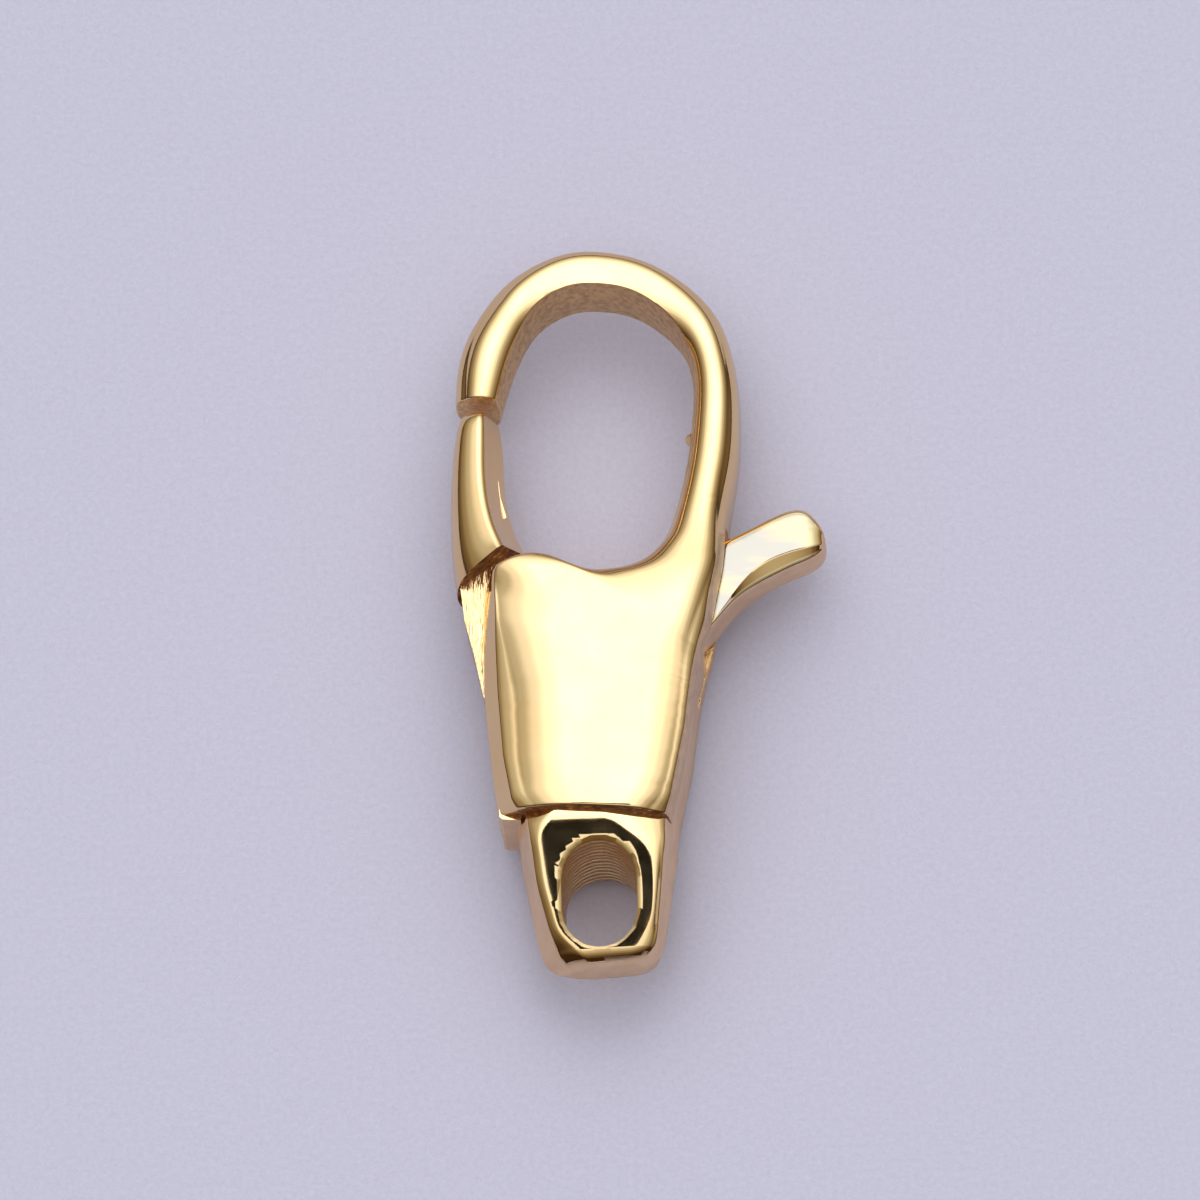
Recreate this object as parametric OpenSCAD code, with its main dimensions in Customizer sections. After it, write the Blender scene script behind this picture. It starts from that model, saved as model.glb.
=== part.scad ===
// Lobster clasp: a cast hook and body, a pivoting gate lever and its pin.
// It lies on its back: X across, Y along the clasp with the hook's crown at +Y, Z up.
// The front and back halves mirror each other about the mid-plane.
// Sections are measured from the foot of the loop, on the body's axis, then the whole
// part is moved so that its origin is the middle of its underside.

/* [Body] */
// Length of the body, from the foot of the loop to the body's end
body_l = 7.0; // [6:0.1:9]
// Width of the body across its shoulders
body_w = 6.0; // [5.4:0.1:7.5]
// Thickness of the body at its crown
body_t = 4.2; // [3.8:0.1:5.5]

/* [Hook] */
// Clear width of the loop between the gate and the right arm
loop_w = 4.95; // [4.6:0.05:6]
// Clear length of the loop, from its foot to the crown of the hook
loop_l = 8.05; // [7.5:0.05:10]
// Width of the hook's arm, seen from the front
arm_w = 1.2; // [1:0.05:1.6]
// Thickness of the hook's arm, front to back
arm_t = 2.35; // [2:0.05:3]
// Gap between the end of the hook and the tip of the gate
tip_gap = 0.22; // [0.15:0.01:0.6]

/* [Tail eye] */
// Length of the tail block beyond the body
tail_l = 3.85; // [3.5:0.05:5]
// Width of the tail block where it leaves the body
tail_w = 4.3; // [3.8:0.05:4.8]
// Thickness of the tail block where it leaves the body
tail_t = 3.66; // [3:0.02:3.7]
// Clear width of the oval eye
eye_w = 1.96; // [1.5:0.02:2.2]
// Clear length of the oval eye
eye_l = 2.7; // [2.3:0.05:3]
// Metal left between the eye and the tail's end, at the mid-plane
eye_rim = 0.42; // [0.35:0.01:0.8]
// Width of the bevel round each mouth of the eye
eye_bevel = 0.11; // [0.05:0.01:0.2]

/* [Lever] */
// Distance of the pivot below the foot of the loop
pivot_drop = 1.98; // [1.8:0.02:2.6]
// Distance of the pivot to the left of the body's axis
pivot_offset = 0.35; // [0:0.05:0.6]
// Thickness of the gate where it steps down to the tongue
gate_t = 3.3; // [2.8:0.1:3.6]
// Width of the gate halfway up
gate_w = 1.4; // [1.2:0.05:1.8]
// Thickness of the lever's tongue and thumb tab
tongue_t = 1.35; // [1:0.05:1.6]
// Distance from the pivot to the middle of the thumb tab's round tip
tab_l = 6.45; // [5.8:0.05:8]
// Width of the thumb tab halfway along
tab_w = 1.46; // [1.2:0.02:1.8]
// Angle of the thumb tab above the X axis
tab_angle = 29.4; // [24:0.2:34]
// Radius of the boss round the pivot
boss_r = 1.25; // [1.1:0.05:1.5]
// Radius of the cam that keeps the body's right side filled below the thumb tab
cam_r = 3.15; // [2.6:0.05:3.2]
// How far the lever turns from shut to open
lever_travel = 25; // [15:1:26]

/* [Pin] */
// Diameter of the pivot pin
pin_d = 1.0; // [0.8:0.05:1.2]
// How deep each end of the pin sits in the body's wall
pin_seat = 0.85; // [0.5:0.05:0.9]

/* [Fits] */
// Gap on each side of the tongue in its slot
slot_gap = 0.08; // [0.06:0.01:0.15]
// Gap round the edges of the tongue in its slot
edge_gap = 0.16; // [0.12:0.01:0.3]
// Gap between the gate's step and the body's corner under it
step_gap = 0.09; // [0.06:0.01:0.2]
// Radial gap of the lever's bore on the pin
pin_play = 0.04; // [0.02:0.005:0.06]
// Radial gap of the pin in the body's bores
pin_fit = 0.01; // [0.005:0.005:0.02]

/* [Hidden] */

gold = "goldenrod";
steps = 3;              // sections worked out between two rows of a table
round_fn = 64;
past = 0.5;             // how far a cutter reaches past the metal that it cuts
arc_step = 4;           // degrees between the points of an arc drawn by hand
step_span = [0.06, 0.86];  // part of the gate's width that the tongue takes at the step
root_span = [0.25, 0.75];  // and where it ends, inside the gate

slot_t = tongue_t + 2 * slot_gap;
pivot = [-pivot_offset, -pivot_drop];
body_end = -body_l;
tail_end = -body_l - tail_l;
end_wall = 0.45;        // metal between the slot and the body's end
cavity_share = 0.08;    // share of body_w at which the slot's lower end stops
web_share = -0.05;      // share of body_w at which the slot's mouth in the loop's foot ends
tip_share = 0.45;       // radius of the thumb tab's tip as a share of tab_w
cam_from = 11;          // angle at which the cam starts, under the thumb tab
cam_to = -42;           // angle at which the cam ends, inside the body
throat = [-0.2, 0.9];   // where the tongue's inner edge meets the boss, in shares of boss_r
tail_fall = 0.231;      // how far the tail's front face drops over tail_l, in shares of tail_t
tail_slope = atan(tail_fall * tail_t / tail_l);
eye_share = 0.01;       // share of tail_w by which the eye is off the axis

// Half of a section's outline, from its left or inner edge on the mid-plane, over the
// front, to its right or outer edge: [share of its width, share of its half thickness]
body_half = [
    [0, 0], [0, 0.37], [0.05, 0.76], [0.085, 0.89], [0.13, 0.955], [0.30, 0.992],
    [0.55, 1], [0.76, 0.975], [0.87, 0.91], [0.945, 0.76], [0.985, 0.42], [1, 0],
];
hook_half = [
    [0, 0], [0.07, 0.37], [0.14, 0.74], [0.20, 0.88], [0.30, 0.965], [0.43, 1],
    [0.56, 0.985], [0.69, 0.93], [0.81, 0.82], [0.91, 0.64], [0.975, 0.36], [1, 0],
];
gate_half = [
    [0, 0], [0.07, 0.36], [0.13, 0.66], [0.19, 0.83], [0.28, 0.94], [0.41, 1],
    [0.54, 0.97], [0.65, 0.87], [0.73, 0.72], [0.82, 0.48], [0.92, 0.22], [1, 0],
];
foot_half = [
    [0, 0], [0.04, 0.38], [0.07, 0.74], [0.10, 0.90], [0.17, 0.975], [0.32, 1],
    [0.50, 0.995], [0.66, 0.97], [0.75, 0.90], [0.82, 0.62], [0.91, 0.30], [1, 0],
];
tail_half = [
    [0, 0], [0.03, 0.35], [0.06, 0.70], [0.085, 0.85], [0.125, 0.96], [0.18, 1],
    [0.84, 1], [0.885, 0.95], [0.92, 0.84], [0.945, 0.70], [0.975, 0.35], [1, 0],
];

// Body sections, from the end up to the root of the right arm. Left and right ends are in
// shares of body_w and body_l, thickness in shares of body_t, and form runs from the
// body's outline at 0 to the hook's at 1.
// [left x, left y, right x, right y, thickness, form]
body_rows = [
    [-0.425, -1.000, 0.345, -1.000, 0.935, 0],
    [-0.443, -0.914, 0.371, -0.914, 0.970, 0],
    [-0.462, -0.757, 0.399, -0.757, 0.992, 0],
    [-0.477, -0.557, 0.425, -0.571, 1.000, 0],
    [-0.492, -0.343, 0.434, -0.505, 1.000, 0],
    [-0.498, -0.157, 0.442, -0.460, 1.000, 0],
    [-0.490, -0.030, 0.448, -0.425, 0.998, 0],
    [-0.452,  0.046, 0.453, -0.395, 0.990, 0.02],
    [-0.350,  0.071, 0.459, -0.362, 0.975, 0.06],
    [-0.233,  0.036, 0.467, -0.318, 0.950, 0.12],
    [-0.100, -0.015, 0.484, -0.220, 0.910, 0.22],
    [ 0.025, -0.021, 0.506, -0.075, 0.850, 0.37],
    [ 0.142,  0.001, 0.524,  0.050, 0.780, 0.54],
    [ 0.233,  0.066, 0.542,  0.143, 0.715, 0.70],
    [ 0.300,  0.178, 0.568,  0.250, 0.650, 0.85],
];
// Hook sections, from the right arm over the crown to the tip. The inner edge is in shares
// of loop_w and loop_l, the width in shares of arm_w and the thickness of arm_t.
// [inner x, inner y, direction outwards in degrees, width, thickness]
hook_rows = [
    [ 0.446, 0.368,   4, 1.16, 1.04],
    [ 0.478, 0.510,   0, 1.08, 1.00],
    [ 0.494, 0.648,   0, 0.99, 1.00],
    [ 0.474, 0.752,   9, 0.97, 1.00],
    [ 0.414, 0.842,  24, 0.96, 1.00],
    [ 0.301, 0.921,  45, 0.93, 1.00],
    [ 0.162, 0.977,  68, 0.94, 1.00],
    [ 0.020, 0.998,  86, 0.96, 1.00],
    [-0.121, 0.998,  98, 0.96, 1.00],
    [-0.242, 0.968, 117, 0.97, 1.00],
    [-0.337, 0.917, 134, 1.00, 1.00],
    [-0.396, 0.852, 146, 1.06, 1.00],
    [-0.451, 0.768, 157, 1.07, 0.98],
    [-0.492, 0.682, 168, 1.04, 0.93],
    [-0.521, 0.614, 176, 0.97, 0.87],
];
// Gate sections, from the tip down to the step. Left and right ends are measured across
// from the left of the loop in shares of gate_w, and up from its foot in shares of gate_l.
// Thickness is in shares of gate_t, and form runs from the gate's outline at 0 to the
// flatter outline of its foot at 1. [left x, left y, right x, right y, thickness, form]
gate_rows = [
    [-0.690,  0.996, -0.280, 1.000, 0.36, 0],
    [-0.790,  0.978, -0.160, 0.982, 0.53, 0],
    [-0.860,  0.932, -0.110, 0.945, 0.65, 0],
    [-0.940,  0.800, -0.050, 0.825, 0.70, 0],
    [-0.990,  0.604, -0.020, 0.643, 0.74, 0.10],
    [-1.000,  0.400,  0.045, 0.464, 0.80, 0.30],
    [-0.985,  0.204,  0.190, 0.306, 0.88, 0.60],
    [-0.935,  0.051,  0.330, 0.218, 0.95, 0.85],
    [-0.880, -0.055,  0.380, 0.191, 1.00, 1.00],
];
// Thumb tab, from the boss to its tip: distance in shares of tab_l, and the edges above
// and below its axis in shares of tab_w. [distance, upper edge, lower edge]
tab_rows = [
    [0.10, 0.78, -0.82],
    [0.25, 0.50, -0.90],
    [0.40, 0.40, -0.92],
    [0.52, 0.41, -0.80],
    [0.62, 0.50, -0.62],
    [0.74, 0.59, -0.51],
    [0.86, 0.54, -0.50],
    [1.00, 0.46, -0.44],
];
// Outer edge of the tongue, from the gate's step down to its heel, from the pivot in
// shares of the gate's distance from it. [x, y]
heel_rows = [
    [-0.83, 0.22],
    [-0.765, -0.035],
    [-0.70, -0.34],
    [-0.665, -0.43],
    [-0.52, -0.47],
    [-0.33, -0.36],
];
// Tail sections, from inside the body to the end: distance of the left and right edges
// below the body's end in shares of tail_l, places of those edges in shares of tail_w,
// and thickness in shares of tail_t. [left down, right down, left x, right x, thickness]
tail_rows = [
    [-0.10, -0.10, -0.505, 0.492, 1.02],
    [ 0.00,  0.00, -0.500, 0.485, 1.00],
    [ 0.30,  0.30, -0.458, 0.455, 0.88],
    [ 0.60,  0.59, -0.405, 0.420, 0.76],
    [ 0.80,  0.77, -0.365, 0.388, 0.675],
    [ 0.90,  0.86, -0.330, 0.345, 0.635],
    [ 0.965, 0.915, -0.270, 0.290, 0.600],
    [ 1.00,  0.94, -0.180, 0.200, 0.480],
];

// Curves and lofts
function mix(a, b, t) = a + (b - a) * t;
function turned(p, a) = [p.x * cos(a) - p.y * sin(a), p.x * sin(a) + p.y * cos(a)];
function row_at(rows, i) = rows[min(max(i, 0), len(rows) - 1)];
function curve_at(rows, i, t) =
    let (a = row_at(rows, i - 1), b = row_at(rows, i))
    let (c = row_at(rows, i + 1), d = row_at(rows, i + 2))
    (2 * b + (c - a) * t + (2 * a - 5 * b + 4 * c - d) * t * t
        + (3 * b - a - 3 * c + d) * t * t * t) / 2;
function smoothed(rows, n) = [
    for (i = [0:len(rows) - 2], s = [0:n - 1]) curve_at(rows, i, s / n),
    rows[len(rows) - 1],
];
function reversed(rows) = [for (i = [len(rows) - 1:-1:0]) rows[i]];
function both_faces(half) = concat(half, [
    for (i = [len(half) - 2:-1:1]) [half[i][0], -half[i][1]],
]);
function blended(first, second, t) = [
    for (i = [0:len(first) - 1]) mix(first[i], second[i], min(max(t, 0), 1)),
];
function section(left, right, thick, half) = [
    for (p = both_faces(half))
        let (at = mix(left, right, p[0]))
        [at.x, at.y, p[1] * thick / 2],
];

// A closed skin through sections that all have the same number of points, from the
// uppermost section down
module loft(rings) {
    n = len(rings[0]);
    last = len(rings) - 1;
    points = [for (ring = rings, p = ring) p];
    sides = [
        for (k = [0:last - 1], i = [0:n - 1])
            let (a = k * n + i, b = k * n + (i + 1) % n)
            each [[a, b, a + n], [b, b + n, a + n]],
    ];
    first_cap = [for (i = [n - 1:-1:0]) i];
    last_cap = [for (i = [0:n - 1]) last * n + i];
    polyhedron(points, concat(sides, [first_cap], [last_cap]));
}

// The hook and body are one run of sections in millimetres:
// [left x, left y, right x, right y, thickness, form]
function body_row(r) = [
    r[0] * body_w, r[1] * body_l, r[2] * body_w, r[3] * body_l, r[4] * body_t, r[5],
];
function hook_row(r) =
    let (inner = [r[0] * loop_w, r[1] * loop_l])
    let (outer = inner + r[3] * arm_w * [cos(r[2]), sin(r[2])])
    [inner.x, inner.y, outer.x, outer.y, r[4] * arm_t, 1];
casting_rows = concat(
    [for (r = body_rows) body_row(r)],
    [for (r = hook_rows) hook_row(r)]
);

// The gate reaches up to the hook's end, less the gap between them
hook_end = hook_rows[len(hook_rows) - 1];
gate_l = hook_end[1] * loop_l - tip_gap;

function gate_point(x, y) = [x * gate_w - loop_w / 2, y * gate_l];
gate_sections = [
    for (r = gate_rows)
        let (left = gate_point(r[0], r[1]), right = gate_point(r[2], r[3]))
        [left.x, left.y, right.x, right.y, r[4] * gate_t, r[5]],
];
gate_foot = gate_sections[len(gate_sections) - 1];
gate_root = gate_sections[len(gate_sections) - 2];
gate_out = [gate_foot[0], gate_foot[1]];
gate_in = [gate_foot[2], gate_foot[3]];
heel_unit = norm(gate_out - pivot);

// A point across one of the gate's sections, from its outer end at 0 to its inner end at 1
function across(s, t) = mix([s[0], s[1]], [s[2], s[3]], t);
function tab_point(along, off, turn) =
    pivot + turned([along * tab_l, off], tab_angle - turn);
function heel_point(r) = pivot + r * heel_unit;

// Places that set the part's origin
front_x = mix(
    min([for (s = smoothed(gate_sections, steps)) s[0]]),
    tab_point(1, 0, 0).x + tip_share * tab_w, 0.5);
crown_y = max([for (s = smoothed(casting_rows, steps)) s[3]]);
middle = [front_x, mix(tail_end, crown_y, 0.5), -body_t / 2];

module placed() {
    translate(-middle) children();
}

module casting() {
    loft(reversed([
        for (s = smoothed(casting_rows, steps))
            section([s[0], s[1]], [s[2], s[3]], s[4],
                blended(body_half, hook_half, s[5])),
    ]));
}

module tail_block() {
    loft([
        for (s = smoothed(tail_rows, steps))
            section(
                [s[2] * tail_w, body_end - s[0] * tail_l],
                [s[3] * tail_w, body_end - s[1] * tail_l],
                s[4] * tail_t, tail_half),
    ]);
}

// An oval hole along Z, as wide as start at its foot and as finish at its top
module oval(start, finish, length, height) {
    between = length - eye_w;
    for (side = [-1, 1])
        translate([0, side * between / 2, 0])
            cylinder(h = height, d1 = start, d2 = finish, $fn = round_fn);
    translate([0, between / 2, 0])
        rotate([90, 0, 0])
            linear_extrude(between)
                polygon([
                    [-start / 2, 0], [start / 2, 0],
                    [finish / 2, height], [-finish / 2, height],
                ]);
}

// The tail's eye, with a bevel at each mouth that follows the tail's slope
module eye() {
    eye_y = tail_end + eye_rim + eye_l / 2;
    mouth = tail_t / 2 - (body_end - eye_y) * tan(tail_slope);
    flare = 2 * (eye_bevel + past);
    translate([eye_share * tail_w, eye_y, 0]) {
        translate([0, 0, -body_t])
            oval(eye_w, eye_w, eye_l, 2 * body_t);
        for (side = [0, 1])
            mirror([0, 0, side])
                translate([0, 0, mouth])
                    rotate([tail_slope, 0, 0])
                        translate([0, 0, -eye_bevel])
                            oval(eye_w, eye_w + flare, eye_l, eye_bevel + past);
    }
}

// The space that the lever's tongue, cam and thumb tab sweep, and the room below them
module lever_slot() {
    far_left = gate_out.x - past;
    loop_side = max([for (r = body_rows) r[1]]) * body_l + past;
    cavity = [cavity_share * body_w, body_end + end_wall];
    above = [for (r = tab_rows) tab_point(r[0], r[1] * tab_w + edge_gap, 0)];
    below = [for (r = tab_rows) tab_point(r[0], r[2] * tab_w - edge_gap, lever_travel)];
    n = len(tab_rows);
    translate([0, 0, -slot_t / 2])
        linear_extrude(slot_t) {
            translate(pivot) circle(r = cam_r + edge_gap, $fn = round_fn);
            polygon(concat(
                [[far_left, loop_side], [far_left, cavity.y], cavity, pivot],
                [for (i = [2:n - 2]) below[i]],
                [for (i = [n - 2:-1:1]) above[i]],
                [[web_share * body_w, above[1].y], [web_share * body_w, loop_side]]
            ));
        }
}

// The seat for the gate's step in the body's upper left corner
module gate_seat() {
    run = gate_in - gate_out;
    drop = step_gap * [run.y, -run.x] / norm(run);
    translate([0, 0, -body_t])
        linear_extrude(2 * body_t)
            polygon([
                gate_out + drop - run, gate_in + drop, gate_in + [0, gate_l / 2],
                gate_out + [-norm(run), gate_l / 2],
            ]);
}

module clasp_body() {
    color(gold)
        placed()
            difference() {
                union() {
                    casting();
                    tail_block();
                }
                lever_slot();
                gate_seat();
                eye();
                translate([pivot.x, pivot.y, 0])
                    cylinder(
                        h = slot_t + 2 * pin_seat, r = pin_d / 2 + pin_fit,
                        center = true, $fn = round_fn);
            }
}

module gate() {
    loft([
        for (s = smoothed(gate_sections, steps))
            section([s[0], s[1]], [s[2], s[3]], s[4], blended(gate_half, foot_half, s[5])),
    ]);
}

module tongue() {
    upper = [for (r = tab_rows) tab_point(r[0], r[1] * tab_w, 0)];
    lower = [for (r = tab_rows) tab_point(r[0], r[2] * tab_w, 0)];
    n = len(tab_rows);
    translate([0, 0, -tongue_t / 2])
        linear_extrude(tongue_t) {
            translate(pivot) circle(r = boss_r, $fn = round_fn);
            polygon(concat(
                [across(gate_foot, step_span[1]), across(gate_root, root_span[1])],
                [across(gate_root, root_span[0]), across(gate_foot, step_span[0])],
                [for (r = heel_rows) heel_point(r)],
                [pivot, pivot + throat * boss_r]
            ));
            polygon(concat(
                [pivot],
                [for (a = [cam_from:-arc_step:cam_to]) pivot + turned([cam_r, 0], a)]
            ));
            polygon(concat(upper, [for (i = [n - 1:-1:0]) lower[i]]));
            translate(tab_point(1, 0, 0)) circle(r = tip_share * tab_w, $fn = round_fn);
        }
}

module trigger_lever() {
    color(gold)
        placed()
            difference() {
                union() {
                    gate();
                    tongue();
                }
                translate([pivot.x, pivot.y, 0])
                    cylinder(
                        h = tongue_t + 2 * past, r = pin_d / 2 + pin_play,
                        center = true, $fn = round_fn);
            }
}

module pivot_pin() {
    color("silver")
        placed()
            translate([pivot.x, pivot.y, 0])
                cylinder(
                    h = slot_t + 2 * pin_seat - 2 * pin_fit, d = pin_d,
                    center = true, $fn = round_fn);
}

clasp_body();
trigger_lever();
pivot_pin();
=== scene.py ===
# Lobster clasp in polished gold plate: the looks of its cast body, its lever and its pin
import math
import bmesh
import bpy
import numpy as np
from mathutils import Matrix, Vector


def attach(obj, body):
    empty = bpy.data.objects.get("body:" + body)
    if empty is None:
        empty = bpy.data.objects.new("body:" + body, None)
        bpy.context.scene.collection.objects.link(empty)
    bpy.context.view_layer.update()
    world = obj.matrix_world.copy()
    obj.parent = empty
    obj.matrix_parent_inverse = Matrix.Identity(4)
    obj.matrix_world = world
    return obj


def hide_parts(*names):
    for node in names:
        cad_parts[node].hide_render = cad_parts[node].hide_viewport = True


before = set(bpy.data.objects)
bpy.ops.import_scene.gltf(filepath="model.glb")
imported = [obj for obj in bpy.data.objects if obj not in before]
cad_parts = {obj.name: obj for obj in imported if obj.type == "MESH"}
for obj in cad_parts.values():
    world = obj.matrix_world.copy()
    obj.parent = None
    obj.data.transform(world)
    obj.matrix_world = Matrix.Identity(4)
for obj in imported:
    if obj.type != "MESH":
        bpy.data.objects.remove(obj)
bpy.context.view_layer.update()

# Pieces are shaped in millimetres, measured from the foot of the loop on the body's axis,
# and brought to the frame at the end
clasp = {
    "loopWidth": 4.95, "loopLength": 8.05, "armWidth": 1.2, "armThick": 2.35, "pivot": (-0.35, -1.98),
    "frameShift": (-1.02566, 0.818218, 2.1), "smoothUpTo": 32,
}


def clearSelection():
    if bpy.context.mode != "OBJECT":
        bpy.ops.object.mode_set(mode="OBJECT")
    bpy.ops.object.select_all(action="DESELECT")


def workOn(piece):
    clearSelection()
    piece.select_set(True)
    bpy.context.view_layer.objects.active = piece


def throughRows(rows, spacing, least):  # a smooth run of sections through the rows of a table
    rows = np.array(rows, float)
    left = np.linalg.norm(np.diff(rows[:, 0:2], axis=0), axis=1)
    right = np.linalg.norm(np.diff(rows[:, 2:4], axis=0), axis=1)
    step = np.maximum(np.maximum(left, right), 0.05)
    knots = np.concatenate([[0], np.cumsum(np.sqrt(step))])
    places = []
    for at, size in enumerate(step):
        parts = max(least, math.ceil(size / spacing))
        places += [knots[at] + (knots[at + 1] - knots[at]) * s / parts for s in range(parts)]
    places.append(knots[-1])
    return splined(knots, rows, np.array(places))


def splined(knots, rows, places):  # a natural cubic spline of each column
    n = len(knots)
    gap = np.diff(knots)
    system, target = np.zeros((n, n)), np.zeros((n, rows.shape[1]))
    system[0, 0] = system[-1, -1] = 1
    for at in range(1, n - 1):
        system[at, at - 1:at + 2] = gap[at - 1], 2 * (gap[at - 1] + gap[at]), gap[at]
        after, before = (rows[at + 1] - rows[at]) / gap[at], (rows[at] - rows[at - 1]) / gap[at - 1]
        target[at] = 6 * (after - before)
    bend = np.linalg.solve(system, target)
    seg = np.clip(np.searchsorted(knots, places, side="right") - 1, 0, n - 2)
    a = ((knots[seg + 1] - places) / gap[seg])[:, None]
    b = 1 - a
    width = gap[seg][:, None]
    curve = (a**3 - a) * bend[seg] + (b**3 - b) * bend[seg + 1]
    return a * rows[seg] + b * rows[seg + 1] + curve * width**2 / 6


def eased(rows, times):  # takes the last unevenness out of measured rows, their ends kept
    rows = rows.copy()
    for _ in range(times):
        rows[1:-1] = (rows[:-2] + 2 * rows[1:-1] + rows[2:]) / 4
    return rows


def arcTo(start, corner, end, count):  # points round a corner, without its first
    start, corner, end = np.array(start), np.array(corner), np.array(end)
    shares = [k / count for k in range(1, count + 1)]
    return [(1 - t)**2 * start + 2 * t * (1 - t) * corner + t * t * end for t in shares]


def lineTo(start, end, count):
    start, end = np.array(start), np.array(end)
    return [start + (end - start) * k / count for k in range(1, count + 1)]


def wallCurve(first, second, end, count):  # from a section's side at mid height up to end, both kept
    first, second, end = np.array(first), np.array(second), np.array(end)
    shares = [k / count for k in range(count + 1)]
    return [3 * t * (1 - t)**2 * first + 3 * t * t * (1 - t) * second + t**3 * end for t in shares]


def circleAt(middle, radius, count):
    turns = [2 * math.pi * k / count for k in range(count)]
    return [tuple(middle + radius * np.array((math.cos(a), math.sin(a)))) for a in turns]


def softStep(value, low, high):
    t = np.clip((value - low) / (high - low), 0, 1)
    return float(t * t * (3 - 2 * t))


def ringAt(left, right, half):  # a closed section from its front half: [distance from the left, height]
    left, right = np.array(left), np.array(right)
    way = (right - left) / np.linalg.norm(right - left)
    front = [(*(left + way * s), z) for s, z in half]
    return front + [(x, y, -z) for x, y, z in front[-2:0:-1]]


def drawOut(name, rings):  # a circle, extruded from section to section and closed at both ends
    count = len(rings[0])
    clearSelection()
    bpy.ops.mesh.primitive_circle_add(vertices=count, radius=1.0, location=(0, 0, 0))
    piece = bpy.context.object
    piece.name = piece.data.name = name
    bpy.ops.object.mode_set(mode="EDIT")
    bpy.ops.mesh.select_all(action="SELECT")
    for number, ring in enumerate(rings):
        if number:
            bpy.ops.mesh.extrude_region_move(TRANSFORM_OT_translate={"value": (0, 0, 0)})
        edited = bmesh.from_edit_mesh(piece.data)
        edited.verts.ensure_lookup_table()
        for point, place in zip(edited.verts[-count:], ring):
            point.co = place
    bpy.ops.mesh.select_all(action="DESELECT")
    bpy.ops.mesh.select_mode(type="EDGE")
    edited = bmesh.from_edit_mesh(piece.data)
    for edge in edited.edges:
        edge.select = edge.is_boundary
    bpy.ops.mesh.fill_holes(sides=0)
    bpy.ops.mesh.select_all(action="SELECT")
    bpy.ops.mesh.normals_make_consistent(inside=False)
    bpy.ops.object.mode_set(mode="OBJECT")
    return piece


def slabOf(name, outline, low, high):  # a flat plate or cutter from its outline
    return drawOut(name, [[(x, y, low) for x, y in outline], [(x, y, high) for x, y in outline]])


def joined(piece, other, how):
    workOn(piece)
    step = piece.modifiers.new(how.lower(), "BOOLEAN")
    step.operation, step.object, step.solver = how, other, "EXACT"
    bpy.ops.object.modifier_apply(modifier=step.name)
    bpy.data.objects.remove(other)


def insetRing(ring, by):  # drawn in by the same measure across and in thickness
    points = np.array(ring)
    middle = points.mean(axis=0)
    out = points - middle
    reach = np.linalg.norm(out[:, :2], axis=1).max()
    out[:, :2] *= max(1 - by / reach, 0.1)
    out[:, 2] *= max(1 - by / np.abs(out[:, 2]).max(), 0.1)
    return [tuple(p) for p in middle + out]


def rolledEnd(rings, radius):  # rounds the last section over
    base, end = np.array(rings[-2]), np.array(rings[-1])
    length = np.linalg.norm(end.mean(axis=0) - base.mean(axis=0))
    rolled = rings[:-1]
    for turn in (0, 18, 36, 54, 72, 90):
        a = math.radians(turn)
        back = min(radius * (1 - math.sin(a)) / length, 0.98)
        rolled.append(insetRing(base * back + end * (1 - back), radius * (1 - math.cos(a))))
    return rolled


def toFrame(piece):  # to the frame's place and metres, shaded smooth
    workOn(piece)
    piece.location = clasp["frameShift"]
    bpy.ops.object.transform_apply(location=True, rotation=False, scale=False)
    piece.scale = (0.001, 0.001, 0.001)
    bpy.ops.object.transform_apply(location=False, rotation=False, scale=True)
    bpy.ops.object.shade_smooth_by_angle(angle=math.radians(clasp["smoothUpTo"]))


# finishes
def newFinish(name, turn=0, stretch=(1, 1, 1)):
    finish = bpy.data.materials.new(name)
    finish.use_nodes = True
    nodes, links = finish.node_tree.nodes, finish.node_tree.links
    nodes.clear()
    shader, out = nodes.new("ShaderNodeBsdfPrincipled"), nodes.new("ShaderNodeOutputMaterial")
    links.new(shader.outputs["BSDF"], out.inputs["Surface"])
    where, centre = nodes.new("ShaderNodeTexCoord"), nodes.new("ShaderNodeMapping")
    links.new(where.outputs["Object"], centre.inputs["Vector"])
    centre.inputs["Rotation"].default_value = (0, 0, math.radians(turn))
    centre.inputs["Scale"].default_value = stretch
    return finish, nodes, links, shader, centre


def grainOf(nodes, links, centre, perMm, detail=2.0, rough=0.5):
    grain = nodes.new("ShaderNodeTexNoise")
    grain.inputs["Scale"].default_value = perMm * 1000
    grain.inputs["Detail"].default_value = detail
    grain.inputs["Roughness"].default_value = rough
    links.new(centre.outputs["Vector"], grain.inputs["Vector"])
    return grain


def toneRamp(nodes, links, source, stops):
    ramp = nodes.new("ShaderNodeValToRGB")
    while len(ramp.color_ramp.elements) < len(stops):
        ramp.color_ramp.elements.new(0.5)
    for element, (place, colour) in zip(ramp.color_ramp.elements, stops):
        element.position, element.color = place, (*colour, 1)
    links.new(source, ramp.inputs["Fac"])
    return ramp


def spread(nodes, links, source, low, high, start=0.0, stop=1.0):
    reach = nodes.new("ShaderNodeMapRange")
    reach.inputs["From Min"].default_value, reach.inputs["From Max"].default_value = start, stop
    reach.inputs["To Min"].default_value, reach.inputs["To Max"].default_value = low, high
    links.new(source, reach.inputs["Value"])
    return reach


def bumped(nodes, links, height, depthMm, before=None):
    bump = nodes.new("ShaderNodeBump")
    bump.inputs["Strength"].default_value = 1.0
    bump.inputs["Distance"].default_value = depthMm / 1000
    links.new(height, bump.inputs["Height"])
    if before:
        links.new(before.outputs["Normal"], bump.inputs["Normal"])
    return bump


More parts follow.
